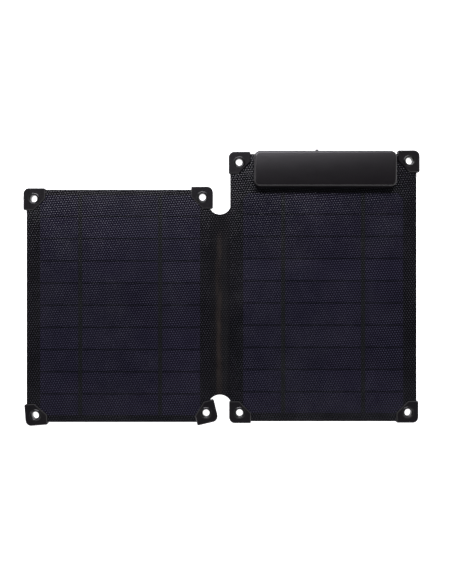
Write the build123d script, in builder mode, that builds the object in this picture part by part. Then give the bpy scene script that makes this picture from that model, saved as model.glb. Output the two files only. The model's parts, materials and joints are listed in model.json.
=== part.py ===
from build123d import *
import os

# Folding solar blanket: two stiff cell panels on a soft hinge strip, eight corner clips,
# and a control box with its sockets on the taller panel. Millimetres, lying on its back,
# cells facing +Z, control box towards +Y.

# panels: dark margins around the cells; the tall panel's top margin carries the box
left_edge = -190.5
left_low = -130.85
left_margin_out = 13.3
left_margin_in = 10.3
left_margin_low = 6.75
left_margin_top = 5.45
right_rise = 0.8
right_margin_in = 12.7
right_margin_out = 13.1
right_margin_low = 8.15
right_margin_top = 38.15
panel_corner_r = 4.0

# laminate layers, from the back
lip_back = 1.3
cover_t = 0.5
board_t = 1.0
encapsulant_t = 0.6
film_t = 0.4

# cells
cell_w = 156.0
cell_h = 19.8
cell_gap = 1.85
cell_rows = 10
cell_t = 0.35
cell_corner = 5.5
ribbon_w = 4.0
ribbon_t = 0.1
ribbon_share = 0.25
ribbon_break = 0.3

# soft hinge strip
hinge_w = 19.1
web_w = 5.2
web_cover_t = 0.7
web_film_t = 0.5
web_setback = 0.4
lead_w = 6.0
lead_t = 0.2
lead_rows = (-60.0, 30.0)
notch_top_clear = 0.85
notch_top_skew = 2.1
notch_top_depth = 4.7
notch_low_clear_left = 2.3
notch_low_clear_right = 0.6
notch_low_depth = 4.1

# corner clips: (corner, inset across, inset along, turn about the eyelet in degrees)
clip_side = 21.3
clip_hole_in = 10.2
clip_front = 1.6
clip_wall = 1.0
clip_outer_r = 5.6
clip_tip_r = 1.2
clip_straight = 9.8
clip_bevel = 0.7
clip_seat_depth = 0.5
left_clips = (
    ("top_left", 7.3, 8.9, 0.0),
    ("top_right", 7.9, 7.4, 0.0),
    ("bottom_left", 8.9, 6.95, 4.5),
    ("bottom_right", 4.35, 9.15, 13.4),
)
right_clips = (
    ("top_left", 8.7, 8.25, 0.0),
    ("top_right", 7.3, 6.9, 0.0),
    ("bottom_left", 9.1, 8.5, 0.0),
    ("bottom_right", 8.6, 8.9, 0.0),
)

# eyelets
eyelet_hole_r = 3.3
eyelet_barrel_r = 4.15
eyelet_flange_r = 5.9
eyelet_flange_t = 0.8
eyelet_rim_t = 0.25
eyelet_dish = 0.8
washer_t = 0.5
fit_gap = 0.05

# control box
box_clear_in = 3.2
box_clear_out = 3.1
box_d = 34.5
box_over = 1.3
box_h = 11.0
box_crown = 0.7
box_corner_r = 5.8
box_round = 2.2
box_wall = 1.8
rear_round = 0.5
gasket_t = 0.5
gasket_w = 1.2
boss_r = 2.6
boss_in = 7.0
screw_r = 1.0
screw_head_r = 2.0
screw_head_t = 1.0
screw_grip = 5.0
screw_drive_w = 0.5
pilot_spare = 1.0

# sockets and their dust cover
pcb_t = 1.0
pcb_up = 0.6
pcb_w = 74.0
pcb_d = 24.0
pcb_back = 1.7
port_middle = 61.4
usb_a_w = 13.1
usb_a_h = 5.7
usb_a_l = 14.0
usb_a_shift = -9.0
usb_c_w = 8.94
usb_c_h = 3.26
usb_c_l = 7.3
usb_c_shift = 9.5
usb_wall = 0.3
usb_a_tongue_w = 11.1
usb_a_tongue_t = 1.8
usb_a_tongue_l = 9.0
usb_a_tongue_up = 0.85
usb_c_tongue_w = 6.7
usb_c_tongue_t = 0.7
usb_c_tongue_l = 4.9
tongue_back = 0.8
flap_w = 36.0
flap_t = 1.5
flap_low = 0.7
flap_high = 7.9
flap_gap = 0.3
tab_w = 3.0
tab_t = 1.6
tab_reach = 2.6

# circuit parts
coil_size = 9.0
coil_h = 4.2
coil_at = (-24.0, -2.0)
cap_r = 2.6
cap_clear = 1.5
cap_places = ((24.0, -6.0), (31.0, -6.0))
chip_t = 1.2
chips = ((-11.0, -6.0, 5.0, 6.0), (0.0, -7.5, 4.0, 4.0), (12.5, -6.5, 6.0, 4.0))
wire_r = 0.55
wire_gap = 4.0
wire_run = 9.0

# levels and edges that follow from the sizes above
cover_z = lip_back
board_z = cover_z + cover_t
encapsulant_z = board_z + board_t
film_z = encapsulant_z + encapsulant_t
front_z = film_z + film_t
clip_top_z = front_z + clip_front
cell_pitch = cell_h + cell_gap
cells_h = cell_rows * cell_pitch - cell_gap
clip_reach = clip_side - clip_hole_in
left_w = left_margin_out + cell_w + left_margin_in
left_h = left_margin_low + cells_h + left_margin_top
right_w = right_margin_in + cell_w + right_margin_out
right_h = right_margin_low + cells_h + right_margin_top
left_inner = left_edge + left_w
right_inner = left_inner + hinge_w
right_edge = right_inner + right_w
right_low = left_low + right_rise
hinge_mid = (left_inner + right_inner) / 2
web_front = film_z
web_back = web_front - web_film_t - web_cover_t
left_inset = {corner: (across, along) for corner, across, along, _ in left_clips}
right_inset = {corner: (across, along) for corner, across, along, _ in right_clips}
notch_top_left = left_low + left_h - left_inset["top_right"][1] - clip_reach - notch_top_clear
notch_top_mid = notch_top_left - notch_top_depth
notch_top_right = notch_top_left + notch_top_skew
notch_low_left = left_low + left_inset["bottom_right"][1] + clip_reach + notch_low_clear_left
notch_low_mid = notch_low_left + notch_low_depth
notch_low_right = right_low + right_inset["bottom_left"][1] + clip_reach + notch_low_clear_right
box_low_x = right_inner + right_inset["top_left"][0] + clip_reach + box_clear_in
box_high_x = right_edge - right_inset["top_right"][0] - clip_reach - box_clear_out
box_w = box_high_x - box_low_x
box_x = (box_low_x + box_high_x) / 2
box_high = right_low + right_h + box_over
box_y = box_high - box_d / 2
box_top = front_z + box_h
box_rim = box_top - box_crown
box_ceiling = box_rim - box_wall
panel_high = right_low + right_h
pcb_z = front_z + pcb_up
pcb_top = pcb_z + pcb_t
port_x = box_x - box_w / 2 + port_middle
pocket_y = box_high - flap_t - flap_gap
flap_z0 = front_z + flap_low
flap_z1 = front_z + flap_high
boss_places = [
    (box_x + side * (box_w / 2 - boss_in), box_y + end * (box_d / 2 - boss_in))
    for side in (-1, 1)
    for end in (-1, 1)
]
wire_x = port_x - pcb_w / 2 + wire_gap
wire_places = [(wire_x, box_y - wire_run + side * wire_gap / 2) for side in (-1, 1)]

os.makedirs("parts", exist_ok=True)


def save(block, name):
    """Labels one sub-part and writes it out."""
    block.part.label = name
    export_step(block.part, "parts/" + name + ".step")


def block(x_span, y_span, z_span, mode=Mode.ADD):
    """Adds, cuts or keeps a plain block, given by its two ends along each axis."""
    spans = (x_span, y_span, z_span)
    with Locations(tuple(sum(span) / 2 for span in spans)):
        Box(*[high - low for low, high in spans], mode=mode)


def rod(places, z_span, radius, mode=Mode.ADD):
    """Adds or cuts upright cylinders between two levels."""
    with Locations(*[(x, y, sum(z_span) / 2) for x, y in places]):
        Cylinder(radius, z_span[1] - z_span[0], mode=mode)


def about(middle, width):
    """The two ends of a span with a given middle."""
    return (middle - width / 2, middle + width / 2)


# ---- panels -------------------------------------------------------------------------


def clip_places(x0, y0, w, h, settings):
    """Eyelet centre and heading of each corner clip of one panel."""
    places = {}
    for corner, across, along, turn in settings:
        low = corner.startswith("bottom")
        right = corner.endswith("right")
        x = x0 + w - across if right else x0 + across
        y = y0 + along if low else y0 + h - along
        heading = {(False, False): 0, (False, True): -90, (True, True): 180, (True, False): 90}
        places[corner] = (x, y, heading[(low, right)] + turn)
    return places


def layer(x0, y0, w, h, z, t, holes):
    """One laminate sheet with its rounded corners and its round holes."""
    with BuildPart() as sheet:
        with BuildSketch(Plane.XY.offset(z)):
            with Locations((x0 + w / 2, y0 + h / 2)):
                RectangleRounded(w, h, panel_corner_r)
            for radius, places in holes:
                with Locations(*places):
                    Circle(radius, mode=Mode.SUBTRACT)
        extrude(amount=t)
    return sheet


def cell_row(x0, y0, row):
    """Outline corners of one cell strip; the end strips carry the wafer's cut corners."""
    low = y0 + row * cell_pitch
    high = low + cell_h
    cut_low = cell_corner if row == 0 else 0
    cut_high = cell_corner if row == cell_rows - 1 else 0
    x1 = x0 + cell_w
    points = [(x0 + cut_low, low), (x1 - cut_low, low)]
    points += [(x1, low + cut_low)] if cut_low else []
    points += [(x1, high - cut_high)] if cut_high else []
    points += [(x1 - cut_high, high), (x0 + cut_high, high)]
    points += [(x0, high - cut_high)] if cut_high else []
    points += [(x0, low + cut_low)] if cut_low else []
    return points


def ribbon_grid(x0, y0):
    """Middles of the tabbing ribbons, two to each cell strip."""
    return [
        (x0 + share * cell_w, y0 + row * cell_pitch + cell_h / 2)
        for share in (ribbon_share, 1 - ribbon_share)
        for row in range(cell_rows)
    ]


def cell_strips(x0, y0, z, t):
    """All the cell strips of one panel."""
    with BuildPart() as strips:
        with BuildSketch(Plane.XY.offset(z)):
            for row in range(cell_rows):
                with BuildLine():
                    Polyline(*cell_row(x0, y0, row), close=True)
                make_face()
        extrude(amount=t)
    return strips


def ribbons(x0, y0):
    """Tabbing ribbons let into the faces of the cells, each reaching over one gap."""
    with BuildPart() as tabs:
        with BuildSketch(Plane.XY.offset(film_z - ribbon_t)):
            with Locations(*ribbon_grid(x0, y0)):
                Rectangle(ribbon_w, cell_pitch - ribbon_break)
        extrude(amount=ribbon_t)
    return tabs


def build_panel(side, x0, y0, w, h, settings, cells_x, cells_y, extra):
    """The layers, cells, clips and eyelets of one panel."""
    places = clip_places(x0, y0, w, h, settings)
    eyelet_places = [(x, y) for x, y, _ in places.values()]
    holes = [(eyelet_barrel_r + fit_gap, eyelet_places)] + extra
    save(layer(x0, y0, w, h, cover_z, cover_t, holes), side + "_rear_cover")
    save(layer(x0, y0, w, h, board_z, board_t, holes), side + "_stiffener_board")
    save(layer(x0, y0, w, h, film_z, film_t, holes), side + "_front_film")
    tabs = ribbons(cells_x, cells_y)
    strips = cell_strips(cells_x, cells_y, film_z - cell_t, cell_t)
    bed = layer(x0, y0, w, h, encapsulant_z, encapsulant_t, holes)
    with BuildPart() as cells:
        add(strips.part)
        add(tabs.part, mode=Mode.SUBTRACT)
    with BuildPart() as encapsulant:
        add(bed.part)
        add(strips.part, mode=Mode.SUBTRACT)
        add(tabs.part, mode=Mode.SUBTRACT)
    save(cells, side + "_cell_strips")
    save(tabs, side + "_tabbing_ribbons")
    save(encapsulant, side + "_encapsulant")
    for corner, (x, y, heading) in places.items():
        save(corner_clip(x, y, heading), side + "_clip_" + corner)
    save(eyelets(eyelet_places), side + "_eyelets")
    save(washers(eyelet_places), side + "_eyelet_washers")


# ---- corner clips and eyelets -------------------------------------------------------


def clip_outline(inward):
    """Clip outline about its eyelet, its two outer sides towards -X and +Y."""
    outer = clip_hole_in - inward
    far = clip_reach
    turn_in = clip_straight - clip_hole_in
    return [(-outer, outer), (far, outer), (far, -turn_in), (turn_in, -far), (-outer, -far)]


def corner_clip(x, y, heading):
    """A moulded clip slotted over the laminate's corner, seen with its corner up and left."""
    inner = clip_hole_in - clip_wall
    with BuildPart() as slot:
        block((-inner, clip_side), (-clip_side, inner), (cover_z, front_z))
        slot_corner = slot.edges().filter_by(Axis.Z).sort_by_distance((-inner, inner, film_z))
        fillet(slot_corner[0], clip_outer_r - clip_wall)
    with BuildPart() as clip:
        with BuildSketch(Plane.XY):
            with BuildLine():
                Polyline(*clip_outline(0), close=True)
            make_face()
        extrude(amount=clip_top_z)
        uprights = clip.edges().filter_by(Axis.Z)
        outer_corner = uprights.sort_by_distance((-clip_hole_in, clip_hole_in, clip_top_z / 2))
        fillet(outer_corner[0], clip_outer_r)
        fillet(clip.edges().filter_by(Axis.Z).filter_by(GeomType.LINE).sort_by_distance(
            (clip_side, -clip_side, clip_top_z / 2))[:4], clip_tip_r)
        chamfer(clip.faces().sort_by(Axis.Z)[-1].edges(), clip_bevel)
        chamfer(clip.faces().sort_by(Axis.Z)[0].edges(), clip_bevel / 2)
        add(slot.part, mode=Mode.SUBTRACT)
        middle = [(0, 0)]
        seat_r = eyelet_flange_r + fit_gap
        rod(middle, (0, clip_top_z), eyelet_barrel_r + fit_gap, Mode.SUBTRACT)
        rod(middle, (clip_top_z - clip_seat_depth, clip_top_z), seat_r, Mode.SUBTRACT)
        rod(middle, (0, washer_t), seat_r, Mode.SUBTRACT)
    with BuildPart() as placed:
        add(Pos(x, y, 0) * Rot(0, 0, heading) * clip.part)
    return placed


def ring(x, y, profile, crest=None):
    """A turned ring about an upright axis, from (radius, level) points, closed by an arc over its crest."""
    with BuildPart() as turned:
        with BuildSketch(Plane.XZ.offset(-y)):
            with BuildLine():
                points = [(x + radius, z) for radius, z in profile]
                Polyline(*points, close=crest is None)
                if crest:
                    ThreePointArc(points[-1], (x + crest[0], crest[1]), points[0])
            make_face()
        revolve(axis=Axis((x, y, 0), (0, 0, 1)))
    return turned


def gather(blocks):
    """Separate solids kept together as one sub-part."""
    with BuildPart() as group:
        for block in blocks:
            add(block.part)
    return group


def eyelets(places):
    """Barrels through clip and laminate, with a domed flange in front that dips into the hole."""
    seat = clip_top_z - clip_seat_depth
    profile = [
        (eyelet_hole_r, seat - eyelet_dish),
        (eyelet_hole_r, washer_t / 2),
        (eyelet_barrel_r, washer_t / 2),
        (eyelet_barrel_r, seat),
        (eyelet_flange_r, seat),
        (eyelet_flange_r, seat + eyelet_rim_t),
    ]
    crest = ((eyelet_hole_r + eyelet_flange_r) / 2, seat + eyelet_flange_t)
    return gather([ring(x, y, profile, crest) for x, y in places])


def washers(places):
    """Rings let into the backs of the clips, which the barrels are rolled over."""
    profile = [
        (eyelet_barrel_r, 0),
        (eyelet_flange_r, 0),
        (eyelet_flange_r, washer_t),
        (eyelet_barrel_r, washer_t),
    ]
    return gather([ring(x, y, profile) for x, y in places])


# ---- soft hinge strip ---------------------------------------------------------------


def strip_piece(x0, x1, z, t):
    """Part of the strip between two upright lines, its ends cut to the notches' arcs."""
    with BuildPart() as piece:
        with BuildSketch(Plane.XY.offset(z)):
            with BuildLine():
                ThreePointArc(
                    (left_inner, notch_low_left),
                    (hinge_mid, notch_low_mid),
                    (right_inner, notch_low_right),
                )
                Line((right_inner, notch_low_right), (right_inner, notch_top_right))
                ThreePointArc(
                    (right_inner, notch_top_right),
                    (hinge_mid, notch_top_mid),
                    (left_inner, notch_top_left),
                )
                Line((left_inner, notch_top_left), (left_inner, notch_low_left))
            make_face()
        extrude(amount=t)
        block((x0, x1), (-left_h, left_h), (z, z + t), Mode.INTERSECT)
    return piece


def build_strip(name, x0, x1):
    """One stretch of the strip: rear cover, front film and the two flat leads between."""
    film_z0 = web_back + web_cover_t
    lead_z = film_z0 - lead_t
    with BuildPart() as leads:
        for row in lead_rows:
            block((x0, x1), about(row, lead_w), (lead_z, film_z0))
    backing = strip_piece(x0, x1, web_back, web_cover_t)
    with BuildPart() as cover:
        add(backing.part)
        add(leads.part, mode=Mode.SUBTRACT)
    save(strip_piece(x0, x1, film_z0, web_film_t), name + "_film")
    save(cover, name + "_cover")
    save(leads, name + "_leads")


# ---- control box --------------------------------------------------------------------


def box_outline(z, amount, inward):
    """The box's rounded plan shape as a solid."""
    with BuildPart() as prism:
        with BuildSketch(Plane.XY.offset(z)):
            with Locations((box_x, box_y)):
                radius = box_corner_r - inward
                RectangleRounded(box_w - 2 * inward, box_d - 2 * inward, radius)
        extrude(amount=amount)
    return prism


def box_front():
    """Crowned front cover, wrapping the laminate's top edge, with bosses and windows."""
    low = box_y - box_d / 2
    outside = box_outline(cover_z, box_top, 0)
    inside = box_outline(cover_z, box_ceiling - cover_z, box_wall)
    with BuildPart() as cover:
        with BuildSketch(Plane.YZ.offset(box_x - box_w / 2)):
            with BuildLine():
                Polyline((low, box_rim), (low, cover_z), (box_high, cover_z), (box_high, box_rim))
                ThreePointArc((box_high, box_rim), (box_y, box_top), (low, box_rim))
            make_face()
        extrude(amount=box_w)
        add(outside.part, mode=Mode.INTERSECT)
        crown = cover.faces().sort_by(Axis.Z)[-1]
        fillet(crown.edges(), box_round)
        add(inside.part, mode=Mode.SUBTRACT)
        laminate_y = (low - fit_gap, panel_high + fit_gap)
        block(about(box_x, 2 * box_w), laminate_y, (cover_z, front_z), Mode.SUBTRACT)
        rod(boss_places, (front_z, box_ceiling), boss_r)
        pilot_z = (front_z, front_z + screw_grip + pilot_spare)
        rod(boss_places, pilot_z, screw_r + fit_gap, Mode.SUBTRACT)
        flap_pocket()
        port_window(usb_a_shift, usb_a_w, usb_a_h, usb_a_l)
        port_window(usb_c_shift, usb_c_w, usb_c_h, usb_c_l)
    return cover


def flap_pocket():
    """Cuts the recess in the top wall that the dust cover lies in."""
    pocket_z = (flap_z0 - flap_gap, flap_z1 + flap_gap)
    pocket_x = about(port_x, flap_w + 2 * flap_gap)
    block(pocket_x, (pocket_y, box_high + flap_t), pocket_z, Mode.SUBTRACT)


def port_window(shift, width, height, length):
    """Cuts the opening through the top wall for one socket's mouth."""
    window_z = (pcb_top - fit_gap, pcb_top + height + fit_gap)
    window_x = about(port_x + shift, width + 2 * fit_gap)
    block(window_x, (pocket_y - length, box_high), window_z, Mode.SUBTRACT)


def box_rear():
    """Flat rear plate with countersunk screw seats."""
    outline = box_outline(0, lip_back, 0)
    with BuildPart() as plate:
        add(outline.part)
        chamfer(plate.faces().sort_by(Axis.Z)[0].edges(), rear_round)
        rod(boss_places, (0, lip_back), screw_r + fit_gap, Mode.SUBTRACT)
        rod(boss_places, (0, screw_head_t), screw_head_r + fit_gap, Mode.SUBTRACT)
    return plate


def box_gasket():
    """Seal just inside the box's wall, on the face of the film."""
    outer = box_outline(front_z, gasket_t, box_wall + fit_gap)
    inner = box_outline(front_z, gasket_t, box_wall + gasket_w)
    with BuildPart() as gasket:
        add(outer.part)
        add(inner.part, mode=Mode.SUBTRACT)
        beyond_y = (panel_high - fit_gap, box_high)
        block(about(box_x, box_w), beyond_y, (front_z, front_z + gasket_t), Mode.SUBTRACT)
    return gasket


def box_screws():
    """Four self-tapping screws with a straight drive slot."""
    tip = front_z + screw_grip
    with BuildPart() as screws:
        rod(boss_places, (screw_head_t / 2, tip), screw_r)
        rod(boss_places, (fit_gap, screw_head_t), screw_head_r)
        for x, y in boss_places:
            slot_x = about(x, 2 * screw_head_r)
            block(slot_x, about(y, screw_drive_w), (0, screw_head_t / 2), Mode.SUBTRACT)
    return screws


def circuit_board():
    """Board under the sockets, its outer edge behind the top wall."""
    y1 = pocket_y - pcb_back
    with BuildPart() as board:
        block(about(port_x, pcb_w), (y1 - pcb_d, y1), (pcb_z, pcb_top))
        rod(wire_places, (pcb_z, pcb_top), wire_r + fit_gap, Mode.SUBTRACT)
    return board


def panel_wires():
    """The two leads that come up through the laminate into the board."""
    with BuildPart() as wires:
        rod(wire_places, (encapsulant_z, pcb_top + wire_r), wire_r)
    return wires


def socket_shell(shift, width, height, length):
    """Folded metal shell of one socket, open at its mouth."""
    x = port_x + shift
    back = pocket_y - length
    inside_z = (pcb_top + usb_wall, pcb_top + height - usb_wall)
    with BuildPart() as shell:
        block(about(x, width), (back, pocket_y), (pcb_top, pcb_top + height))
        inside_x = about(x, width - 2 * usb_wall)
        block(inside_x, (back + usb_wall, pocket_y), inside_z, Mode.SUBTRACT)
    return shell


def socket_insert(shift, width, height, length, tongue, level):
    """Moulded insert: a block filling the shell's back and the tongue standing from it."""
    x = port_x + shift
    tongue_w, tongue_t, tongue_l = tongue
    tip = pocket_y - tongue_back
    root = tip - tongue_l
    inside_z = (pcb_top + usb_wall, pcb_top + height - usb_wall)
    with BuildPart() as insert:
        block(about(x, tongue_w), (root, tip), about(level, tongue_t))
        inside_x = about(x, width - 2 * usb_wall)
        block(inside_x, (pocket_y - length + usb_wall, root), inside_z)
    return insert


def dust_cover():
    """Soft cover over both sockets, rounded about its hinge line, with a pull tab."""
    axis_z = flap_z1 - flap_t / 2
    axis_y = box_high - flap_t / 2
    with BuildPart() as flap:
        block(about(port_x, flap_w), (box_high - flap_t, box_high), (flap_z0, axis_z))
        with Locations(Location((port_x, axis_y, axis_z), (0, 90, 0))):
            Cylinder(flap_t / 2, flap_w)
        block(about(port_x, tab_w), (box_high, box_high + tab_reach), (flap_z0, flap_z0 + tab_t))
    return flap


def coil():
    """Shielded inductor with cut corners."""
    x, y = coil_at
    with BuildPart() as block:
        with BuildSketch(Plane.XY.offset(pcb_top)):
            with Locations((port_x + x, box_y + y)):
                RectangleRounded(coil_size, coil_size, coil_size / 6)
        extrude(amount=coil_h)
    return block


def capacitors():
    """Two upright cans."""
    with BuildPart() as cans:
        places = [(port_x + x, box_y + y) for x, y in cap_places]
        rod(places, (pcb_top, box_ceiling - cap_clear), cap_r)
    return cans


def chip_set():
    """Flat packages on the board."""
    with BuildPart() as packages:
        for x, y, w, d in chips:
            chip_z = (pcb_top, pcb_top + chip_t)
            block(about(port_x + x, w), about(box_y + y, d), chip_z)
    return packages


# ---- everything ---------------------------------------------------------------------

screw_holes = [(screw_r + fit_gap, boss_places)]
wire_holes = [(wire_r + fit_gap, wire_places)]
build_panel(
    "left", left_edge, left_low, left_w, left_h, left_clips,
    left_edge + left_margin_out, left_low + left_margin_low, [],
)
build_panel(
    "right", right_inner, right_low, right_w, right_h, right_clips,
    right_inner + right_margin_in, right_low + right_margin_low, screw_holes + wire_holes,
)
build_strip("left_root", left_inner, hinge_mid - web_w - web_setback)
build_strip("left_web", hinge_mid - web_w + web_setback, hinge_mid - web_setback)
build_strip("right_web", hinge_mid + web_setback, hinge_mid + web_w - web_setback)
build_strip("right_root", hinge_mid + web_w + web_setback, right_inner)
save(box_front(), "box_front_cover")
save(box_rear(), "box_rear_plate")
save(box_gasket(), "box_gasket")
save(box_screws(), "box_screws")
save(circuit_board(), "circuit_board")
save(panel_wires(), "panel_wires")
save(socket_shell(usb_a_shift, usb_a_w, usb_a_h, usb_a_l), "wide_socket_shell")
save(socket_shell(usb_c_shift, usb_c_w, usb_c_h, usb_c_l), "small_socket_shell")
wide_level = pcb_top + usb_a_h / 2 + usb_a_tongue_up
small_level = pcb_top + usb_c_h / 2
wide_tongue = (usb_a_tongue_w, usb_a_tongue_t, usb_a_tongue_l)
small_tongue = (usb_c_tongue_w, usb_c_tongue_t, usb_c_tongue_l)
wide_insert = socket_insert(usb_a_shift, usb_a_w, usb_a_h, usb_a_l, wide_tongue, wide_level)
small_insert = socket_insert(usb_c_shift, usb_c_w, usb_c_h, usb_c_l, small_tongue, small_level)
save(wide_insert, "wide_socket_insert")
save(small_insert, "small_socket_insert")
save(dust_cover(), "dust_cover")
save(coil(), "inductor")
save(capacitors(), "capacitors")
save(chip_set(), "chip_packages")
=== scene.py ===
import json
import math
from collections import Counter

import bmesh
import bpy
import numpy as np
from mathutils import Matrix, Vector


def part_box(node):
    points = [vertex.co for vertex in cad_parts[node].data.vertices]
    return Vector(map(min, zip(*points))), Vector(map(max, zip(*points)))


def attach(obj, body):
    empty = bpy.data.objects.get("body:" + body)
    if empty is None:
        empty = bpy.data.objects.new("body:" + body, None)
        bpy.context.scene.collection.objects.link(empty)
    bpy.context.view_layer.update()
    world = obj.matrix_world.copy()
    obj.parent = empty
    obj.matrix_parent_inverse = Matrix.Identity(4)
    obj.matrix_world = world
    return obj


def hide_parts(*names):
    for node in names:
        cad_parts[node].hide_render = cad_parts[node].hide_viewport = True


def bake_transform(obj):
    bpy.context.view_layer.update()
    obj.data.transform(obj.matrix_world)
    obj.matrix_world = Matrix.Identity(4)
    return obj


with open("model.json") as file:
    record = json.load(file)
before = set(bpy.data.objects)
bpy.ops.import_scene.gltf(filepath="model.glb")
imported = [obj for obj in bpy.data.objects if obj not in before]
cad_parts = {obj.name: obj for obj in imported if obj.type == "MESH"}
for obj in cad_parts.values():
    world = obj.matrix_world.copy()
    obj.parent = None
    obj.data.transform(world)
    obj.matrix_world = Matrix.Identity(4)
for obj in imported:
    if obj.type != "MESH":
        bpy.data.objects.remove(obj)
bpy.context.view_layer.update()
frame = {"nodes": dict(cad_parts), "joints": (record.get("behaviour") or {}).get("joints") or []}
MM = 0.001


# ---- sizes, in millimetres, of what the frame's boxes can't give ---------------------------

PITCH = 2.5  # dimple spacing of the embossed film
STEP = PITCH / 3  # mesh spacing of the panels' film, three to a dimple
TURN = math.radians(4.5)  # the embossing runs a little askew
HEADINGS = [TURN + math.pi / 6 + k * math.pi / 3 for k in range(3)]  # of the embossing's waves
WAVELENGTH = PITCH * math.sqrt(3) / 2
RISE = 0.36  # height of a dimple on the panels
RIM_HEIGHT = 0.2  # the film's height along its edges, as a share of RISE
STRIP_RISE = 0.22  # height of the relief on the hinge strip
CLOTH_STEP = 2.5  # mesh spacing of the panels' rear cloths
CORNER_R = 4.0  # the panels' corners
HOLE_R = 4.3  # holes round the eyelets' barrels
NOTCH_TOP = 4.7  # how far the strip's upper notch dips below its left end
NOTCH_LOW = 4.1  # how far its lower notch rises above its left end
STRIP_STEP_X = 0.42  # mesh spacing across the strip, fine enough to bend
STRIP_STEP_Y = 0.72
RIB_PITCH = 1.55  # fine upright ribs at the strip's top
FLUTE_PITCH = 5.2  # broad upright flutes in the rest of it
CELL_PITCH = 21.65
CELL_H = 19.8
CELL_W = 156.0
CELL_CUT = 5.55  # how far the cell block's corners are cut off, along x and y together
SOFT_EDGE = 0.25  # half the width over which one tone passes into the next
BUS_W = 4.0
LEAD_W = 6.0
LEAD_COVER = 0.02  # the strip's coating over each face of a lead
EDGE_ROOM = 0.28 * STEP  # mesh points nearer an edge than this are moved onto it
LEAST_AREA = 1e-4  # faces smaller than this are dropped
SHARP = math.radians(50)  # edges steeper than this aren't smoothed
HIGHLIGHT_SHIFT = 0.6  # the painted highlights on the dimples lie this far above their middles
CLOTH_THREAD = 0.7  # thread spacing of the rear cloth
BOARD_THREAD = 1.2  # and of the stiffener's glass cloth
FINGER_PITCH = 1.8  # contact lines of the cells


def box_mm(node):
    low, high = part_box(node)
    return np.array(low) / MM, np.array(high) / MM


FOLD_LINES = sorted(j["pos_m"][0] / MM for j in frame["joints"] if j["name"].startswith("fold"))
STRIP_LEFT, STRIP_RIGHT = box_mm("left_root_film"), box_mm("right_root_film")
STRIP_MID = (STRIP_LEFT[0][0] + STRIP_RIGHT[1][0]) / 2
STRIP_SPLITS = (  # where one stretch of the strip's skin ends and the next starts
    STRIP_LEFT[0][0],
    (FOLD_LINES[0] + FOLD_LINES[1]) / 2,
    (FOLD_LINES[1] + FOLD_LINES[2]) / 2,
    STRIP_RIGHT[1][0],
)
STRIP_TOP = (
    (STRIP_LEFT[0][0], STRIP_LEFT[1][1]),
    (STRIP_MID, STRIP_LEFT[1][1] - NOTCH_TOP),
    (STRIP_RIGHT[1][0], STRIP_RIGHT[1][1]),
)
STRIP_LOW = (
    (STRIP_LEFT[0][0], STRIP_LEFT[0][1]),
    (STRIP_MID, STRIP_LEFT[0][1] + NOTCH_LOW),
    (STRIP_RIGHT[1][0], STRIP_RIGHT[0][1]),
)

# ---- mesh helpers ---------------------------------------------------------------------------


def lattice(x0, y0, x1, y1, step, turn):
    """Points of a triangular lattice over a box, with their whole-number places and faces."""
    a = step * np.array([math.cos(turn), math.sin(turn)])
    b = step * np.array([math.cos(turn + math.pi / 3), math.sin(turn + math.pi / 3)])
    inverse = np.linalg.inv(np.array([a, b]).T)
    corners = np.array([[x0, y0], [x1, y0], [x0, y1], [x1, y1]])
    places = corners @ inverse.T
    i0, j0 = np.floor(places.min(0)).astype(int) - 2
    i1, j1 = np.ceil(places.max(0)).astype(int) + 2
    ii, jj = np.meshgrid(np.arange(i0, i1), np.arange(j0, j1), indexing="ij")
    points = ii[..., None] * a + jj[..., None] * b
    count = jj.shape[1]
    base = (np.arange(i1 - i0 - 1)[:, None] * count + np.arange(j1 - j0 - 1)[None, :]).ravel()
    faces = np.concatenate(
        [
            np.stack([base, base + count, base + 1], 1),
            np.stack([base + 1, base + count, base + count + 1], 1),
        ]
    )
    return points.reshape(-1, 2), np.stack([ii.ravel(), jj.ravel()], 1), faces


def rounded_distance(points, x0, y0, x1, y1, radius):
    """Signed distance to a rounded rectangle, below zero inside, and its outward direction."""
    centre = np.array([(x0 + x1) / 2, (y0 + y1) / 2])
    half = np.array([(x1 - x0) / 2, (y1 - y0) / 2]) - radius
    away = points - centre
    side = np.sign(away)
    side[side == 0] = 1
    past = np.abs(away) - half
    outside = np.maximum(past, 0)
    length = np.linalg.norm(outside, axis=1)
    inner = np.maximum(past[:, 0], past[:, 1])
    distance = np.where(inner > 0, length, inner) - radius
    flat = np.zeros_like(points)
    flat[np.arange(len(points)), np.argmax(past, 1)] = 1
    direction = np.where((inner > 0)[:, None], outside / np.maximum(length, 1e-9)[:, None], flat)
    return distance, direction * side


def hole_distance(points, place, radius):
    """Signed distance to a round hole, below zero outside it, and the direction into it."""
    away = points - np.array(place)
    length = np.linalg.norm(away, axis=1)
    return radius - length, -away / np.maximum(length, 1e-9)[:, None]


def arc_height(x, three):
    """Height of the arc through three points, at x."""
    (ax, ay), (bx, by), (cx, cy) = three
    d = 2 * (ax * (by - cy) + bx * (cy - ay) + cx * (ay - by))
    sa, sb, sc = ax * ax + ay * ay, bx * bx + by * by, cx * cx + cy * cy
    ux = (sa * (by - cy) + sb * (cy - ay) + sc * (ay - by)) / d
    uy = (sa * (cx - bx) + sb * (ax - cx) + sc * (bx - ax)) / d
    radius = math.hypot(ax - ux, ay - uy)
    lift = np.sqrt(np.maximum(radius**2 - (np.asarray(x) - ux) ** 2, 0))
    return uy + lift if by > uy else uy - lift


def dimples(places):
    """Dimple profile from 0 to 1 at whole-number places, three steps to a dimple."""
    i, j = places[:, 0], places[:, 1]
    wave = (
        np.cos(2 * math.pi * i / 3)
        + np.cos(2 * math.pi * j / 3)
        + np.cos(2 * math.pi * (i + j) / 3)
    )
    return (wave + 1.5) / 4.5


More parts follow.
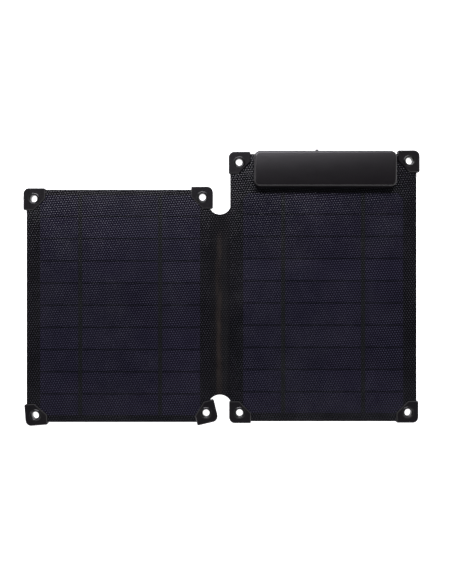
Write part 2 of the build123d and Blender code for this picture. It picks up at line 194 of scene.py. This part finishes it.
def closed_piece(name, verts, faces):
    """An object from points in mm and faces, with any open edge filled by a flat underside."""
    mesh = bpy.data.meshes.new(name)
    mesh.from_pydata((verts * MM).tolist(), [], faces)
    bm = bmesh.new()
    bm.from_mesh(mesh)
    bm.verts.ensure_lookup_table()
    under = [e for e in bm.edges if e.is_boundary]
    if under:
        bmesh.ops.triangle_fill(bm, edges=under, use_beauty=False, normal=(0, 0, -1))
    bmesh.ops.recalc_face_normals(bm, faces=bm.faces[:])
    bm.to_mesh(mesh)
    bm.free()
    mesh.shade_smooth()
    mesh.set_sharp_from_angle(angle=SHARP)
    piece = bpy.data.objects.new(name, mesh)
    bpy.context.scene.collection.objects.link(piece)
    return piece


def slab_from_top(name, top, faces, z_low):
    """A closed piece: a top skin given in mm, a skirt round its edges and a flat underside."""
    used, inverse = np.unique(faces, return_inverse=True)
    faces = inverse.reshape(faces.shape)
    top = top[used]
    edges = np.concatenate([faces[:, [0, 1]], faces[:, [1, 2]], faces[:, [2, 0]]])
    count = Counter(map(tuple, np.sort(edges, 1).tolist()))
    rim = [tuple(e) for e in edges.tolist() if count[tuple(sorted(e))] == 1]
    loop = sorted({v for e in rim for v in e})
    low_of = {v: len(top) + k for k, v in enumerate(loop)}
    low = top[loop].copy()
    low[:, 2] = z_low
    skirt = [(b, a, low_of[a], low_of[b]) for a, b in rim]
    return closed_piece(name, np.concatenate([top, low]), faces.tolist() + skirt)


def grid_slab(name, x, y, z_top, z_low):
    """A closed slab over a grid of points in mm, as fine below as above so that it bends evenly."""
    cols, rows = x.shape[0] - 1, x.shape[1] - 1
    order = np.arange(x.size).reshape(x.shape)
    upper = np.stack([x, y, z_top], 2).reshape(-1, 3)
    lower = np.stack([x, y, np.full(x.shape, z_low)], 2).reshape(-1, 3)
    quads = np.stack([order[:-1, :-1], order[1:, :-1], order[1:, 1:], order[:-1, 1:]], 2)
    quads = quads.reshape(-1, 4)
    rim = np.concatenate(
        [order[:, 0], order[cols, 1:], order[cols - 1 :: -1, rows], order[0, rows - 1 : 0 : -1]]
    )
    after = np.roll(rim, -1)
    walls = np.stack([after, rim, rim + x.size, after + x.size], 1)
    faces = np.concatenate([quads, quads[:, ::-1] + x.size, walls])
    return closed_piece(name, np.concatenate([upper, lower]), faces.tolist())


def keep_rest(piece):
    """Stores each vertex's rest place, so that a pattern stays put when the piece bends."""
    mesh = piece.data
    co = np.zeros(len(mesh.vertices) * 3, np.float32)
    mesh.vertices.foreach_get("co", co)
    spot = mesh.attributes.new("rest", "FLOAT_VECTOR", "POINT")
    spot.data.foreach_set("vector", co)


def snapped(points, faces, distances):
    """Keeps the faces that reach inside, with their outer points pulled to the outline."""
    signed = np.max([d for d, _ in distances], axis=0)
    inside = signed < -EDGE_ROOM
    kept = faces[inside[faces].any(1)]
    moved = points.copy()
    for d, direction in distances:
        near = (~inside) & (d == signed)
        moved[near] -= direction[near] * d[near][:, None]
    tri = moved[kept]
    area = np.cross(tri[:, 1] - tri[:, 0], tri[:, 2] - tri[:, 0])
    return moved, kept[area > LEAST_AREA], inside


def panel_skin(name, node, rise, step, hole_places):
    """A sheet in a node's box with rounded corners and eyelet holes, its top dimpled if rise."""
    low, high = box_mm(node)
    points, places, faces = lattice(low[0], low[1], high[0], high[1], step, TURN)
    distances = [rounded_distance(points, low[0], low[1], high[0], high[1], CORNER_R)]
    distances += [hole_distance(points, place, HOLE_R) for place in hole_places]
    moved, kept, inside = snapped(points, faces, distances)
    height = dimples(places) if rise else np.zeros(len(points))
    z = high[2] - rise * (1 - np.where(inside, height, RIM_HEIGHT))
    return slab_from_top(name, np.column_stack([moved, z]), kept, low[2])


def hole_centres(node):
    """The centres of a node's separate round pieces, from where its vertices gather."""
    mesh = frame["nodes"][node].data
    co = np.array([v.co for v in mesh.vertices]) / MM
    low, high = co.min(0), co.max(0)
    middle = (low + high) / 2
    out = []
    for sx in (-1, 1):
        for sy in (-1, 1):
            part = co[((co[:, 0] - middle[0]) * sx > 0) & ((co[:, 1] - middle[1]) * sy > 0)]
            out.append(tuple(((part.min(0) + part.max(0)) / 2)[:2]))
    return out


# ---- node helpers ---------------------------------------------------------------------------


class Graph:
    """Builds a node material, one short call per node."""

    def __init__(self, name):
        self.material = bpy.data.materials.new(name)
        self.material.use_nodes = True
        self.tree = self.material.node_tree
        self.shader = self.tree.nodes["Principled BSDF"]

    def node(self, kind, **settings):
        made = self.tree.nodes.new(kind)
        for key, value in settings.items():
            setattr(made, key, value)
        return made

    def feed(self, socket, value):
        if isinstance(value, bpy.types.NodeSocket):
            self.tree.links.new(value, socket)
        elif isinstance(value, tuple) and len(value) == 3 and socket.type == "RGBA":
            socket.default_value = (*value, 1)
        else:
            socket.default_value = value

    def set(self, name, value):
        self.feed(self.shader.inputs[name], value)

    def place(self):
        return self.node("ShaderNodeTexCoord").outputs["Object"]

    def rest(self):
        return self.node("ShaderNodeAttribute", attribute_name="rest").outputs["Vector"]

    def axes(self, vector):
        """A place's x, y and z in millimetres."""
        return self.parts(self.scaled(vector, (1000, 1000, 1000)))

    def parts(self, vector):
        split = self.node("ShaderNodeSeparateXYZ")
        self.feed(split.inputs[0], vector)
        return split.outputs

    def scaled(self, vector, by):
        made = self.node("ShaderNodeVectorMath", operation="MULTIPLY")
        self.feed(made.inputs[0], vector)
        made.inputs[1].default_value = by
        return made.outputs[0]

    def dot(self, vector, by):
        made = self.node("ShaderNodeVectorMath", operation="DOT_PRODUCT")
        self.feed(made.inputs[0], vector)
        made.inputs[1].default_value = by
        return made.outputs["Value"]

    def math(self, operation, *values, clamp=False):
        made = self.node("ShaderNodeMath", operation=operation, use_clamp=clamp)
        for k, value in enumerate(values):
            self.feed(made.inputs[k], value)
        return made.outputs[0]

    def step(self, value, start, end, low=0.0, high=1.0):
        """Passes smoothly from low to high as value goes from start to end."""
        made = self.node("ShaderNodeMapRange", interpolation_type="SMOOTHSTEP")
        self.feed(made.inputs["Value"], value)
        made.inputs["From Min"].default_value = start
        made.inputs["From Max"].default_value = end
        made.inputs["To Min"].default_value = low
        made.inputs["To Max"].default_value = high
        return made.outputs["Result"]

    def mix(self, share, a, b):
        made = self.node("ShaderNodeMix", data_type="RGBA")
        self.feed(made.inputs[0], share)
        self.feed(made.inputs[6], a)
        self.feed(made.inputs[7], b)
        return made.outputs[2]

    def tint(self, colour, amount):
        """colour times amount, a grey value."""
        made = self.node("ShaderNodeMix", data_type="RGBA", blend_type="MULTIPLY")
        made.inputs[0].default_value = 1
        self.feed(made.inputs[6], colour)
        self.feed(made.inputs[7], amount)
        return made.outputs[2]

    def noise(self, vector, scale, detail=3.0, roughness=0.55, seed=0.0):
        made = self.node("ShaderNodeTexNoise", noise_dimensions="4D")
        self.feed(made.inputs["Vector"], vector)
        made.inputs["W"].default_value = seed
        made.inputs["Scale"].default_value = scale
        made.inputs["Detail"].default_value = detail
        made.inputs["Roughness"].default_value = roughness
        return made.outputs["Fac"]

    def speck(self, vector, scale, size):
        """Small round specks, from 0 to 1."""
        made = self.node("ShaderNodeTexVoronoi", feature="F1")
        self.feed(made.inputs["Vector"], vector)
        made.inputs["Scale"].default_value = scale
        return self.step(made.outputs["Distance"], size, 0.0)

    def shade_of(self, value):
        """The same pseudo-random grey for each whole number."""
        made = self.node("ShaderNodeTexWhiteNoise", noise_dimensions="1D")
        self.feed(made.inputs["W"], value)
        return made.outputs["Value"]

    def total(self, *values):
        return self.chain("ADD", values)

    def product(self, *values):
        return self.chain("MULTIPLY", values)

    def chain(self, operation, values):
        result = values[0]
        for value in values[1:]:
            result = self.math(operation, result, value)
        return result

    def away(self, value, middle):
        """How far value is from middle, either way."""
        return self.math("ABSOLUTE", self.math("SUBTRACT", value, middle))

    def weave(self, p, spacing):
        """Crossing threads, spacing in mm, from -1 to 1."""
        number = math.tau / (spacing * MM)
        warp = self.math("SINE", self.dot(p, (number, 0, 0)))
        weft = self.math("SINE", self.dot(p, (0, number, 0)))
        return self.product(warp, weft)

    def bump(self, height, distance, strength=1.0):
        made = self.node("ShaderNodeBump")
        made.inputs["Strength"].default_value = strength
        made.inputs["Distance"].default_value = distance
        self.feed(made.inputs["Height"], height)
        return made.outputs[0]


# ---- materials ------------------------------------------------------------------------------


def cell_masks(g, x, y, cells):
    """Where a strip of cell, the line between two strips and a busbar band lie."""
    low, high = cells
    centre_x = (low[0] + high[0]) / 2
    centre_y = (low[1] + high[1]) / 2
    half_h = (high[1] - low[1]) / 2
    row = g.math("DIVIDE", g.math("SUBTRACT", y, low[1] - (CELL_PITCH - CELL_H) / 2), CELL_PITCH)
    number = g.math("FLOOR", row)
    within = g.away(g.math("FRACT", row), 0.5)
    from_line = g.product(g.math("SUBTRACT", 0.5, within), CELL_PITCH)
    line = g.step(from_line, 1.05, 0.6)
    across = g.away(x, centre_x)
    up = g.away(y, centre_y)
    corner = CELL_W / 2 + half_h - CELL_CUT
    cut = g.step(g.total(across, up), corner + SOFT_EDGE, corner - SOFT_EDGE)
    zone = g.product(
        g.step(across, CELL_W / 2 + SOFT_EDGE, CELL_W / 2 - SOFT_EDGE),
        cut,
        g.step(up, half_h + SOFT_EDGE, half_h - SOFT_EDGE),
    )
    from_bus = g.away(across, CELL_W / 4)
    bus = g.product(g.step(from_bus, BUS_W / 2 + SOFT_EDGE, BUS_W / 2 - SOFT_EDGE), zone)
    return zone, line, bus, number


def embossing(g, p, lift=0.0):
    """The film's hexagonal dimples, from -1.5 to 3: those of the mesh, or lift mm further up."""
    number = math.tau / (WAVELENGTH * MM)
    waves = []
    for heading in HEADINGS:
        turned = g.dot(p, (math.cos(heading) * number, math.sin(heading) * number, 0))
        late = math.sin(heading) * number * lift * MM
        waves.append(g.math("COSINE", g.math("SUBTRACT", turned, late)))
    return g.total(*waves)


def film_finish(g, p, colour, painted_highlight_colour, share=1.0):
    """The dusty satin of the embossed film over a colour, with painted highlights a little above the middle
    of each dimple.
    """
    dust = g.noise(p, 26, 6, 0.62, 3.1)
    rub = g.noise(g.scaled(p, (1, 3.2, 1)), 60, 4, 0.6, 8.2)
    fine = g.noise(p, 2600, 2, 0.5, 1.3)
    lint = g.speck(p, 210, 0.05)
    colour = g.mix(g.step(dust, 0.42, 0.78, 0.0, 0.03), colour, (0.05, 0.05, 0.053))
    colour = g.mix(g.product(lint, g.step(rub, 0.5, 0.62, 0.0, 0.3)), colour, (0.08, 0.078, 0.075))
    press = g.step(g.noise(p, 45, 3, 0.6, 11.0), 0.3, 0.7, 0.6, 1.0)
    # painted highlights: the base colour turns paler on the upper flank of each dimple
    painted_highlight = g.product(g.step(embossing(g, p, HIGHLIGHT_SHIFT), 0.0, 2.7), press, share)
    g.set("Base Color", g.mix(painted_highlight, colour, painted_highlight_colour))
    satin = g.step(dust, 0.3, 0.8, 0.2, 0.28)
    g.set("Roughness", g.total(satin, g.step(fine, 0.3, 0.7, -0.02, 0.02)))
    g.set("Specular IOR Level", 0.32)
    relief = g.product(embossing(g, p), press, share)
    g.set("Normal", g.bump(g.total(relief, g.product(fine, 0.1)), 0.000011))


def panel_film(side):
    """The front film with the cells showing through it."""
    g = Graph(f"{side}_film_over_cells")
    p = g.place()
    x, y, _ = g.axes(p)
    zone, line, bus, number = cell_masks(g, x, y, box_mm(side + "_cell_strips"))
    shade = g.shade_of(g.total(number, 7.0 if side == "left" else 31.0))
    cloud = g.noise(p, 14, 3, 0.5, 2.0)
    crystal = g.noise(g.scaled(p, (1, 0.25, 1)), 300, 2, 0.5, 6.0)
    cell = g.mix(g.step(cloud, 0.3, 0.7), (0.0040, 0.0034, 0.0085), (0.0056, 0.0048, 0.0112))
    cell = g.tint(cell, g.step(shade, 0.0, 1.0, 0.86, 1.14))
    cell = g.tint(cell, g.step(crystal, 0.25, 0.75, 0.93, 1.07))
    margin = g.mix(g.step(cloud, 0.3, 0.7), (0.0012, 0.0012, 0.0018), (0.0022, 0.0022, 0.0030))
    band = g.mix(g.step(crystal, 0.3, 0.7), (0.0040, 0.0046, 0.0044), (0.0056, 0.0064, 0.0062))
    gap = (0.0006, 0.0008, 0.0022)
    inner = g.mix(g.product(line, 0.8), cell, gap)
    inner = g.mix(bus, inner, band)
    # the colour of the painted highlights on the dimples, dimmer over the busbars and the lines between
    # strips, paler over the margins
    darker = g.product(g.math("ADD", bus, line, clamp=True), 0.75)
    painted_highlight = g.mix(darker, (0.036, 0.035, 0.053), (0.014, 0.014, 0.019))
    film_finish(g, p, g.mix(zone, margin, inner), g.mix(zone, (0.027, 0.027, 0.034), painted_highlight))
    return g.material


def strip_film():
    """The hinge strip's film: near black, ribbed at its top, with a painted warm highlight in a band down
    it.
    """
    g = Graph("strip_film")
    p = g.rest()
    x, y, _ = g.axes(p)
    cloud = g.noise(p, 40, 4, 0.55, 5.0)
    dark = g.mix(g.step(cloud, 0.3, 0.7), (0.0020, 0.0020, 0.0028), (0.0034, 0.0034, 0.0042))
    grey = g.mix(g.step(cloud, 0.3, 0.7), (0.0070, 0.0072, 0.0078), (0.0100, 0.0102, 0.0108))
    # painted highlight: a warm, paler colour for a band down the strip near its middle
    painted_warm_highlight = g.mix(g.step(cloud, 0.3, 0.7), (0.0165, 0.0120, 0.0098), (0.0235, 0.0180, 0.0150))
    wander = g.total(x, g.step(g.noise(p, 30, 3, 0.6, 9.0), 0.3, 0.7, -1.1, 1.1))
    below = g.step(y, 58, 46)
    band = g.product(g.step(wander, -7.0, -3.4), g.step(wander, 1.6, -2.2), below)
    right = g.product(g.step(wander, -1.8, 1.8), g.step(wander, 7.4, 3.6), below)
    patchy = g.step(g.noise(g.scaled(p, (3, 1, 1)), 60, 4, 0.6, 3.0), 0.35, 0.65, 0.35, 1.0)
    colour = g.mix(g.product(right, 0.5), dark, grey)
    # lays the painted warm highlight over the band, in patches
    colour = g.mix(g.product(band, patchy, 0.75), colour, painted_warm_highlight)
    ribbed = g.step(y, 40, 70, 0.6, 1.0)
    # the last colour is that of the painted highlights on the relief, weaker lower down
    film_finish(g, p, colour, (0.036, 0.035, 0.038), ribbed)
    return g.material


def woven(name, rest=False):
    """Coated plain-weave cloth: crossing threads with a sheen and slight fading."""
    g = Graph(name)
    p = g.rest() if rest else g.place()
    cross = g.weave(p, CLOTH_THREAD)
    slub = g.noise(g.scaled(p, (1, 14, 1)), 90, 3, 0.6, 2.2)
    fade = g.noise(p, 18, 5, 0.6, 4.4)
    rib = g.total(g.product(cross, 0.35), g.product(slub, 0.5))
    colour = g.mix(g.step(cross, -1, 1), (0.0085, 0.0088, 0.0098), (0.0190, 0.0195, 0.0210))
    colour = g.tint(colour, g.step(slub, 0.25, 0.75, 0.78, 1.2))
    colour = g.mix(g.step(fade, 0.45, 0.8, 0.0, 0.16), colour, (0.07, 0.068, 0.065))
    g.set("Base Color", colour)
    g.set("Roughness", g.step(fade, 0.3, 0.8, 0.62, 0.8))
    g.set("Sheen Weight", 0.25)
    g.set("Sheen Roughness", 0.45)
    g.set("Normal", g.bump(rib, 0.00012, 0.8))
    return g.material


def moulded(
    name, dark, light, rough, grain=900, depth=0.00003, worn=(0.12, 0.12, 0.12), wear=0.12, uneven=0.06
):
    """Moulded plastic: fine grain, faint flow marks, rubbed and dusty here and there."""
    g = Graph(name)
    p = g.place()
    cloud = g.noise(p, 30, 4, 0.55, 1.0)
    texture = g.noise(p, grain, 2, 0.6, 2.0)
    rub = g.noise(p, 140, 5, 0.68, 3.0)
    colour = g.mix(g.step(cloud, 0.3, 0.7), dark, light)
    colour = g.tint(colour, g.step(texture, 0.3, 0.7, 0.92, 1.08))
    colour = g.mix(g.step(rub, 0.58, 0.78, 0.0, wear), colour, worn)
    g.set("Base Color", colour)
    patches = g.step(rub, 0.3, 0.75, rough - uneven, rough + uneven)
    g.set("Roughness", g.total(patches, g.step(texture, 0.3, 0.7, -uneven / 2, uneven / 2)))
    g.set("Normal", g.bump(texture, depth, 0.7))
    return g.material


def metal(name, dark, light, rough, brushed=0.0, rest=False):
    """Metal with fine drawing lines and slight tarnish."""
    g = Graph(name)
    p = g.rest() if rest else g.place()
    lines = g.noise(g.scaled(p, (1, 1 + 30 * brushed, 1)), 900, 3, 0.6, 5.0)
    tarnish = g.noise(p, 120, 5, 0.6, 6.0)
    colour = g.mix(g.step(tarnish, 0.35, 0.7), dark, light)
    g.set("Base Color", g.tint(colour, g.step(lines, 0.3, 0.7, 0.9, 1.1)))
    g.set("Metallic", 1.0)
    patches = g.step(tarnish, 0.3, 0.7, rough - 0.05, rough + 0.08)
    g.set("Roughness", g.total(patches, g.step(lines, 0.3, 0.7, -0.04, 0.04)))
    g.set("Normal", g.bump(lines, 0.000015, 0.6))
    return g.material


def cell_surface(name):
    """Dark blue cells with fine contact lines, under the encapsulant."""
    g = Graph(name)
    p = g.place()
    _, y, _ = g.axes(p)
    finger = g.step(g.away(g.math("FRACT", g.math("DIVIDE", y, FINGER_PITCH)), 0.5), 0.44, 0.47)
    cloud = g.noise(p, 60, 4, 0.5, 1.0)
    colour = g.mix(g.step(cloud, 0.3, 0.7), (0.010, 0.010, 0.024), (0.015, 0.014, 0.034))
    g.set("Base Color", g.mix(finger, colour, (0.12, 0.12, 0.125)))
    g.set("Roughness", g.step(cloud, 0.3, 0.7, 0.28, 0.4))
    g.set("Normal", g.bump(g.noise(p, 1500, 2, 0.5, 2.0), 0.00001, 0.5))
    return g.material


def board_surface(name):
    """Glass-cloth stiffener: a faint weave under dark resin."""
    g = Graph(name)
    p = g.place()
    cross = g.step(g.weave(p, BOARD_THREAD), -1, 1)
    resin = g.noise(p, 55, 4, 0.6, 3.0)
    colour = g.mix(cross, (0.028, 0.029, 0.028), (0.052, 0.053, 0.050))
    g.set("Base Color", g.tint(colour, g.step(resin, 0.3, 0.7, 0.85, 1.15)))
    g.set("Roughness", g.step(resin, 0.3, 0.7, 0.5, 0.65))
    g.set("Normal", g.bump(cross, 0.00003, 0.5))
    return g.material


def circuit_surface():
    """Green solder mask over copper tracks."""
    g = Graph("circuit_board_mask")
    p = g.place()
    track = g.noise(g.scaled(p, (1, 3, 1)), 240, 1, 0.3, 4.0)
    edge = g.step(g.away(track, 0.5), 0.03, 0.015)
    cloud = g.noise(p, 80, 3, 0.5, 7.0)
    mask = g.mix(g.step(cloud, 0.3, 0.7), (0.010, 0.070, 0.032), (0.016, 0.100, 0.046))
    g.set("Base Color", g.mix(edge, mask, (0.035, 0.170, 0.075)))
    g.set("Roughness", g.step(cloud, 0.3, 0.7, 0.26, 0.36))
    g.set("Normal", g.bump(edge, 0.00004, 0.6))
    return g.material


BOX_PLASTIC = moulded("box_soft_plastic", (0.0036, 0.0027, 0.0036), (0.0044, 0.0034, 0.0043), 0.29,
                      grain=1500, depth=0.000006, worn=(0.010, 0.009, 0.009), wear=0.05, uneven=0.012)
BOX_BACK = moulded("box_back_plastic", (0.010, 0.0095, 0.0095), (0.014, 0.0135, 0.013), 0.5,
                   worn=(0.04, 0.04, 0.04))
CLIP_PLASTIC = moulded("clip_plastic", (0.0062, 0.0056, 0.0066), (0.0086, 0.0078, 0.0090), 0.23,
                       grain=1200, depth=0.000006, worn=(0.020, 0.019, 0.020), wear=0.15, uneven=0.02)
EYELET_FINISH = moulded("eyelet_black_finish", (0.0022, 0.0022, 0.0025), (0.0036, 0.0036, 0.0039), 0.2,
                        grain=1800, depth=0.000004, worn=(0.05, 0.047, 0.043), wear=0.3)
GASKET_RUBBER = moulded("gasket_rubber", (0.010, 0.010, 0.010), (0.016, 0.016, 0.016), 0.7)
FLAP_RUBBER = moulded("flap_rubber", (0.018, 0.0175, 0.017), (0.026, 0.025, 0.024), 0.55)
SOCKET_METAL = metal("socket_metal", (0.50, 0.50, 0.51), (0.66, 0.66, 0.67), 0.26, 0.6)
SCREW_METAL = metal("screw_metal", (0.16, 0.16, 0.17), (0.27, 0.27, 0.28), 0.36)
CAN_METAL = metal("can_metal", (0.55, 0.55, 0.57), (0.7, 0.7, 0.72), 0.3, 1.0)
COPPER = ((0.52, 0.26, 0.15), (0.72, 0.40, 0.25), 0.34, 1.0)
LEAD_COPPER = metal("lead_copper", *COPPER)
STRIP_COPPER = metal("strip_copper", *COPPER, rest=True)
RIBBON_TIN = metal("ribbon_tin", (0.10, 0.11, 0.105), (0.17, 0.18, 0.175), 0.42, 1.0)
CHIP_PLASTIC = moulded("chip_plastic", (0.014, 0.014, 0.014), (0.022, 0.022, 0.022), 0.55)
FERRITE = moulded("ferrite_body", (0.05, 0.05, 0.055), (0.08, 0.08, 0.085), 0.7, grain=700)
INSERT_PLASTIC = moulded("insert_plastic", (0.016, 0.016, 0.018), (0.024, 0.024, 0.027), 0.45)
WIRE_COVER = moulded("wire_cover", (0.22, 0.018, 0.014), (0.32, 0.028, 0.022), 0.4)
ENCAPSULANT = moulded("encapsulant_edge", (0.012, 0.012, 0.013), (0.018, 0.018, 0.019), 0.3)
CELLS = cell_surface("cell_faces")
BOARD = board_surface("board_resin_weave")
CIRCUIT = circuit_surface()
REAR_CLOTH = woven("rear_cloth")
STRIP_CLOTH = woven("strip_cloth", rest=True)
STRIP_FILM = strip_film()
FILMS = {side: panel_film(side) for side in ("left", "right")}


def paint(piece, material):
    """Gives every material slot of an object this material."""
    if not piece.material_slots:
        piece.data.materials.append(material)
    for held in piece.material_slots:
        held.material = material


NODE_FINISH = {
    "clip": CLIP_PLASTIC,
    "eyelet": EYELET_FINISH,
    "stiffener_board": BOARD,
    "encapsulant": ENCAPSULANT,
    "cell_strips": CELLS,
    "tabbing_ribbons": RIBBON_TIN,
    "leads": LEAD_COPPER,
    "box_front_cover": BOX_PLASTIC,
    "box_rear_plate": BOX_BACK,
    "box_gasket": GASKET_RUBBER,
    "box_screws": SCREW_METAL,
    "circuit_board": CIRCUIT,
    "panel_wires": WIRE_COVER,
    "socket_shell": SOCKET_METAL,
    "socket_insert": INSERT_PLASTIC,
    "dust_cover": FLAP_RUBBER,
    "inductor": FERRITE,
    "capacitors": CAN_METAL,
    "chip_packages": CHIP_PLASTIC,
    "rear_cover": REAR_CLOTH,
    "front_film": STRIP_FILM,
    "web_film": STRIP_FILM,
    "root_film": STRIP_FILM,
    "web_cover": STRIP_CLOTH,
    "root_cover": STRIP_CLOTH,
}
for node, made in frame["nodes"].items():
    key = next((k for k in sorted(NODE_FINISH, key=len, reverse=True) if k in node), None)
    if key is None:
        raise SystemExit("no finish for " + node)
    paint(made, NODE_FINISH[key])

# ---- the panels' film and rear cloth --------------------------------------------------------

CLOTHS = {}
for side in ("left", "right"):
    body = side + "_panel"
    holes = hole_centres(side + "_eyelets")
    film = panel_skin(side + "_embossed_film", side + "_front_film", RISE, STEP, holes)
    paint(film, FILMS[side])
    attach(film, body)
    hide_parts(side + "_front_film")
    cloth = panel_skin(side + "_rear_cloth", side + "_rear_cover", 0.0, CLOTH_STEP, holes)
    paint(cloth, REAR_CLOTH)
    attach(cloth, body)
    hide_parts(side + "_rear_cover")
    cover_low, cover_high = box_mm(side + "_rear_cover")
    CLOTHS[side] = (cloth, [float(v) * MM for v in cover_high - cover_low][:2])

# ---- the hinge strip ------------------------------------------------------------------------


def strip_relief(x, y):
    """The strip's relief from 0 to 1: fine ribs at its top, dimples over broad flutes below."""
    waves = sum(
        np.cos((x * math.cos(heading) + y * math.sin(heading)) * math.tau / WAVELENGTH)
        for heading in HEADINGS
    )
    bumps = (waves + 1.5) / 4.5
    ribbed = np.clip((y - 48) / 10, 0, 1) * np.exp(-(((x + 1.6) / 6.0) ** 4))
    ribs = 0.5 + 0.5 * np.cos(math.tau * x / RIB_PITCH)
    flutes = 0.5 + 0.5 * np.cos(math.tau * (x + 1.1) / FLUTE_PITCH)
    smooth = np.exp(-(((x - 3.0) / 3.2) ** 2)) * np.clip((52 - y) / 8, 0, 1)
    return (1 - ribbed) * (bumps * (1 - 0.75 * smooth) * 0.8 + 0.2 * flutes) + ribbed * ribs


def strip_columns(x0, x1):
    """Places across one stretch of the strip, close enough for it to bend."""
    return np.linspace(x0, x1, max(6, round((x1 - x0) / STRIP_STEP_X)) + 1)


def strip_skin(name, x0, x1, node, rise):
    """One stretch of the strip between two upright lines, as thick as a node's box."""
    z_low, z_top = box_mm(node)[0][2], box_mm(node)[1][2]
    longest = max(y for _, y in STRIP_TOP) - min(y for _, y in STRIP_LOW)
    xs = strip_columns(x0, x1)
    top, low = arc_height(xs, STRIP_TOP), arc_height(xs, STRIP_LOW)
    share = np.linspace(0, 1, round((longest + 2) / STRIP_STEP_Y) + 1)
    x = np.repeat(xs[:, None], len(share), 1)
    y = low[:, None] + (top - low)[:, None] * share[None, :]
    height = strip_relief(x, y) if rise else np.zeros(x.shape)
    piece = grid_slab(name, x, y, z_top - rise * (1 - height), z_low)
    keep_rest(piece)
    return piece


def strip_lead(name, x0, x1, y0, y1):
    """One stretch of a flat copper lead inside the strip."""
    x, y = np.meshgrid(strip_columns(x0, x1), (y0, y1), indexing="ij")
    z_top = np.full(x.shape, lead_high[2] - LEAD_COVER)
    piece = grid_slab(name, x, y, z_top, lead_low[2] + LEAD_COVER)
    keep_rest(piece)
    return piece


STRETCHES = (
    ("left", "left_panel", "left_web", ("left_root",)),
    ("middle", "left_web", "right_web", ("left_web", "right_web")),
    ("right", "right_web", "right_panel", ("right_root",)),
)
lead_low, lead_high = box_mm("left_web_leads")
for k, (name, before, after, nodes) in enumerate(STRETCHES):
    x0, x1 = STRIP_SPLITS[k], STRIP_SPLITS[k + 1]
    lower = strip_lead(f"strip_lead_lower_{name}", x0, x1, lead_low[1], lead_low[1] + LEAD_W)
    upper = strip_lead(f"strip_lead_upper_{name}", x0, x1, lead_high[1] - LEAD_W, lead_high[1])
    film = strip_skin(f"strip_film_{name}", x0, x1, "left_web_film", STRIP_RISE)
    cloth = strip_skin(f"strip_cloth_{name}", x0, x1, "left_web_cover", 0.0)
    for piece, finish, kind, of in (
        (film, STRIP_FILM, "web_film", "film"),
        (cloth, STRIP_CLOTH, "web_cover", "cover"),
        (lower, STRIP_COPPER, "leads", "leads"),
        (upper, STRIP_COPPER, "leads", "leads"),
    ):
        paint(piece, finish)
        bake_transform(piece)
        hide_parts(*[f"{n}_{of}" for n in nodes])

STRIP_CLOTHS = {"left": ["strip_cloth_left", "strip_cloth_middle"], "right": ["strip_cloth_right"]}
for side, others in STRIP_CLOTHS.items():
    cloth, flat = CLOTHS[side]

# ---- floor, light and camera ----------------------------------------------------------------


LAMP_TINT = (1.0, 0.975, 1.05)
FLOOR_REACH = 9  # metres each way
FLOOR_Z = -0.0002


def add_light(name, place, size, energy):
    """A soft rectangular light that points at the middle of the blanket."""
    data = bpy.data.lights.new(name, "AREA")
    data.shape = "RECTANGLE"
    data.size, data.size_y = size
    data.energy = energy
    data.color = LAMP_TINT
    lamp = bpy.data.objects.new(name, data)
    lamp.location = place
    lamp.rotation_euler = (-Vector(place)).to_track_quat("-Z", "Y").to_euler()
    bpy.context.scene.collection.objects.link(lamp)


floor_mesh = bpy.data.meshes.new("studio_floor")
corners = [(sx * FLOOR_REACH, sy * FLOOR_REACH, FLOOR_Z) for sx, sy in ((-1, -1), (1, -1), (1, 1), (-1, 1))]
floor_mesh.from_pydata(corners, [], [(0, 1, 2, 3)])
floor = bpy.data.objects.new("studio_floor", floor_mesh)
bpy.context.scene.collection.objects.link(floor)
paper = Graph("studio_paper")
paper_mottle = paper.noise(paper.place(), 4, 2, 0.5, 0.0)
paper.set("Base Color", paper.mix(paper_mottle, (0.92, 0.92, 0.92), (0.95, 0.95, 0.95)))
paper.set("Roughness", 0.9)
paper.set("Emission Color", (1, 1, 1))
paper.set("Emission Strength", 1.0)
paint(floor, paper.material)

add_light("far_softbox", (-0.14, 0.89, 1.18), (1.2, 0.40), 22)
add_light("near_softbox", (0.1, -1.05, 1.25), (1.5, 0.40), 6)
add_light("side_fill", (-1.4, 0.2, 0.8), (0.5, 1.0), 1.5)
add_light("side_fill_right", (1.4, 0.1, 0.8), (0.5, 1.0), 1)

# a pale horizon under a nearly dark zenith
world = bpy.data.worlds.new("studio")
world.use_nodes = True
sky = world.node_tree
back = sky.nodes["Background"]
coords = sky.nodes.new("ShaderNodeTexCoord")
split = sky.nodes.new("ShaderNodeSeparateXYZ")
ramp = sky.nodes.new("ShaderNodeMapRange")
ramp.interpolation_type = "SMOOTHSTEP"
ramp.inputs["From Min"].default_value = 0.35
ramp.inputs["From Max"].default_value = 0.95
ramp.inputs["To Min"].default_value = 0.8
ramp.inputs["To Max"].default_value = 0.02
sky.links.new(coords.outputs["Generated"], split.inputs[0])
sky.links.new(split.outputs["Z"], ramp.inputs["Value"])
sky.links.new(ramp.outputs["Result"], back.inputs["Strength"])
back.inputs["Color"].default_value = (1, 1, 1, 1)
bpy.context.scene.world = world

camera_data = bpy.data.cameras.new("camera")
camera_data.sensor_width = 36
camera_data.lens = 41.08
camera_data.clip_start = 0.02
camera = bpy.data.objects.new("camera", camera_data)
camera.location = (0.0041, -0.0039, 0.654)
bpy.context.scene.collection.objects.link(camera)
bpy.context.scene.camera = camera
bpy.context.scene.view_settings.view_transform = "Standard"
